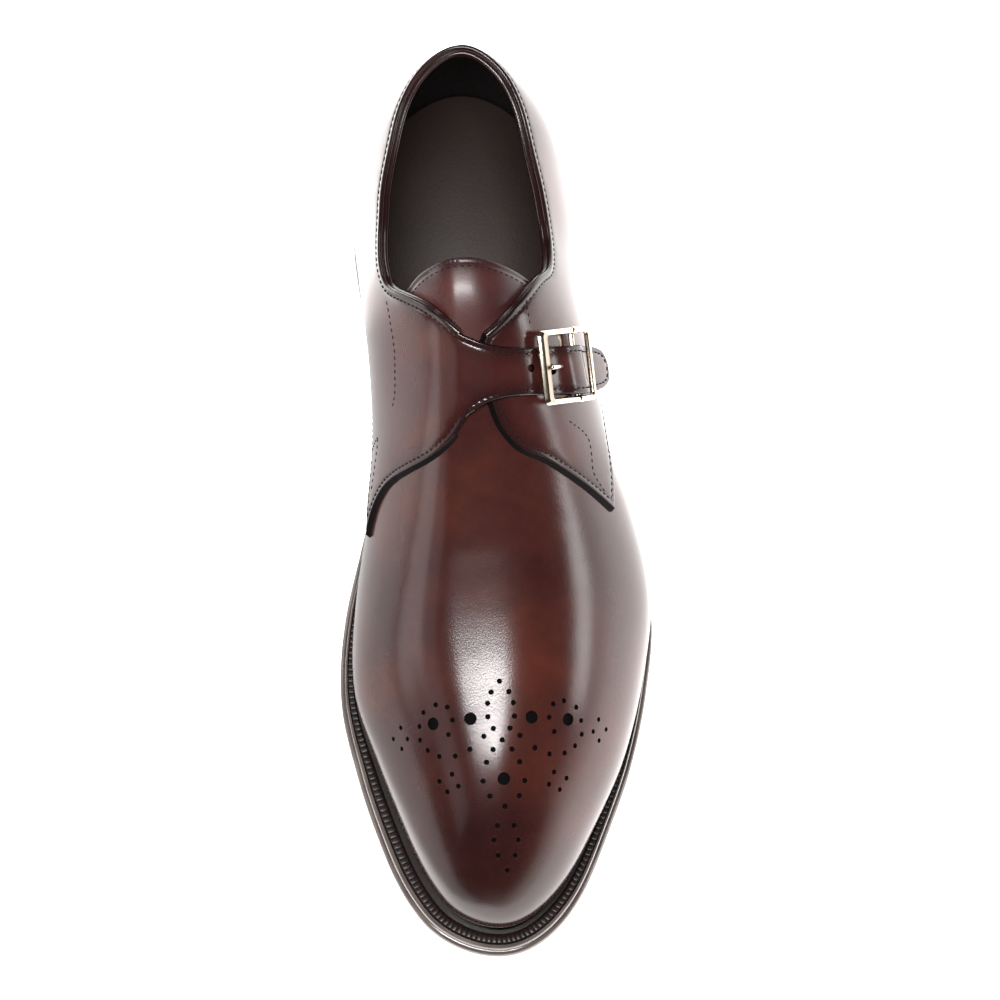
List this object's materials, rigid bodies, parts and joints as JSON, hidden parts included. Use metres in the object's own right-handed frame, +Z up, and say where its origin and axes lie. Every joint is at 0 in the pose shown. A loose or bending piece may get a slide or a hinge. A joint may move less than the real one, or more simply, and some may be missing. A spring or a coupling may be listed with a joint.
{
  "type": "monk strap shoe",
  "caption": "Left monk strap shoe with a plain vamp punched at the toe, pointed quarter fronts, a strap buckled on the outer side, a welted sole and a stacked heel.",
  "frame": {"origin": "on the floor, under the middle of the shoe", "axes": "+Z up from the floor, -Y towards the toe, +X towards the outer side of the foot"},
  "size_m": [0.1058, 0.302, 0.111],
  "materials": {
    "upper_leather": "polished calf, burnished",
    "sole_leather": "stained and waxed edge",
    "insole_leather": "plain",
    "top_piece_rubber": "matte",
    "buckle_metal": "polished, warm nickel"
  },
  "bodies": {
    "root": {"outsole": "sole_leather", "welt": "sole_leather", "insole": "insole_leather", "heel_top_piece": "top_piece_rubber", "heel_lift_3": "sole_leather", "heel_lift_2": "sole_leather", "heel_lift_1": "sole_leather", "upper": "upper_leather", "tongue": "upper_leather", "quarter_lateral": "upper_leather", "quarter_medial": "upper_leather", "buckle_frame": "buckle_metal", "buckle_prong": "buckle_metal"}
  },
  "joints": []
}
